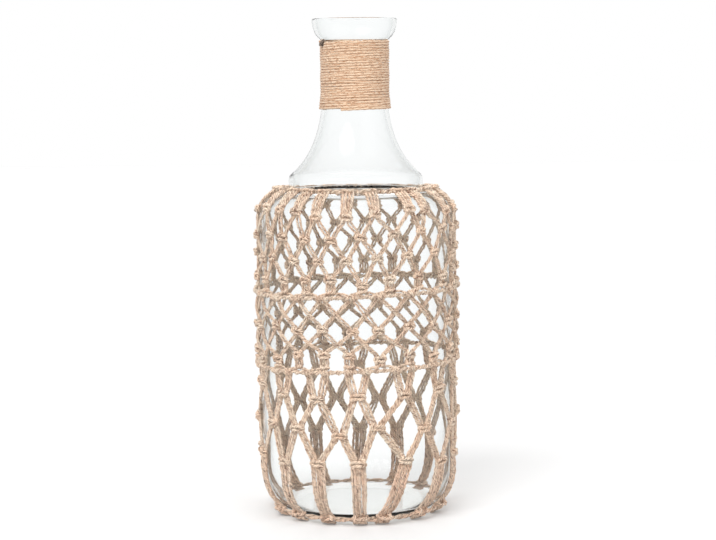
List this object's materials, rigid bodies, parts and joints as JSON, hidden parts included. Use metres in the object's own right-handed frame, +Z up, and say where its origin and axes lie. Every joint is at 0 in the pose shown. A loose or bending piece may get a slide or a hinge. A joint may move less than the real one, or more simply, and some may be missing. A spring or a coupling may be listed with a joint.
{
  "type": "bottle vase in a knotted net",
  "caption": "Clear glass bottle vase with a bell-shaped lower neck and cup mouth, its body in a knotted jute net and its neck wound with jute twine.",
  "frame": {"origin": "centre of the flat base, on the surface that the bottle stands on", "axes": "+Z up the bottle's axis to the mouth; -Y is the front as pictured; +X is to the right seen from the front"},
  "size_m": [0.1751, 0.1753, 0.415],
  "materials": {
    "clear_glass": "clear, smooth blown glass",
    "jute_twine": "thin natural jute twine, fine fibres",
    "jute_cord": "twisted natural jute cord",
    "jute_base": "twisted natural jute cord, a little darker"
  },
  "bodies": {
    "root": {"glass_bottle": "clear_glass", "neck_winding": "jute_twine", "neck_winding_knot": "jute_twine", "collar_cord": "jute_cord", "collar_hitches": "jute_cord", "collar_straps": "jute_cord", "upper_knots_1": "jute_cord", "upper_legs_1": "jute_cord", "upper_knots_2": "jute_cord", "upper_legs_2": "jute_cord", "upper_knots_3": "jute_cord", "upper_legs_3": "jute_cord", "upper_knots_4": "jute_cord", "upper_posts": "jute_cord", "upper_band_cord": "jute_cord", "upper_band_hitches": "jute_cord", "middle_legs_1": "jute_cord", "middle_knots_1": "jute_cord", "middle_legs_2": "jute_cord", "middle_knots_2": "jute_cord", "middle_posts": "jute_cord", "lower_band_cord": "jute_cord", "lower_band_hitches": "jute_cord", "lower_legs_1": "jute_cord", "lower_knots_1": "jute_cord", "lower_legs_2": "jute_cord", "lower_knots_2": "jute_cord", "lower_legs_3": "jute_cord", "lower_knots_3": "jute_cord", "base_straps": "jute_base", "base_knots": "jute_base", "base_ring_cord": "jute_base"}
  },
  "joints": []
}
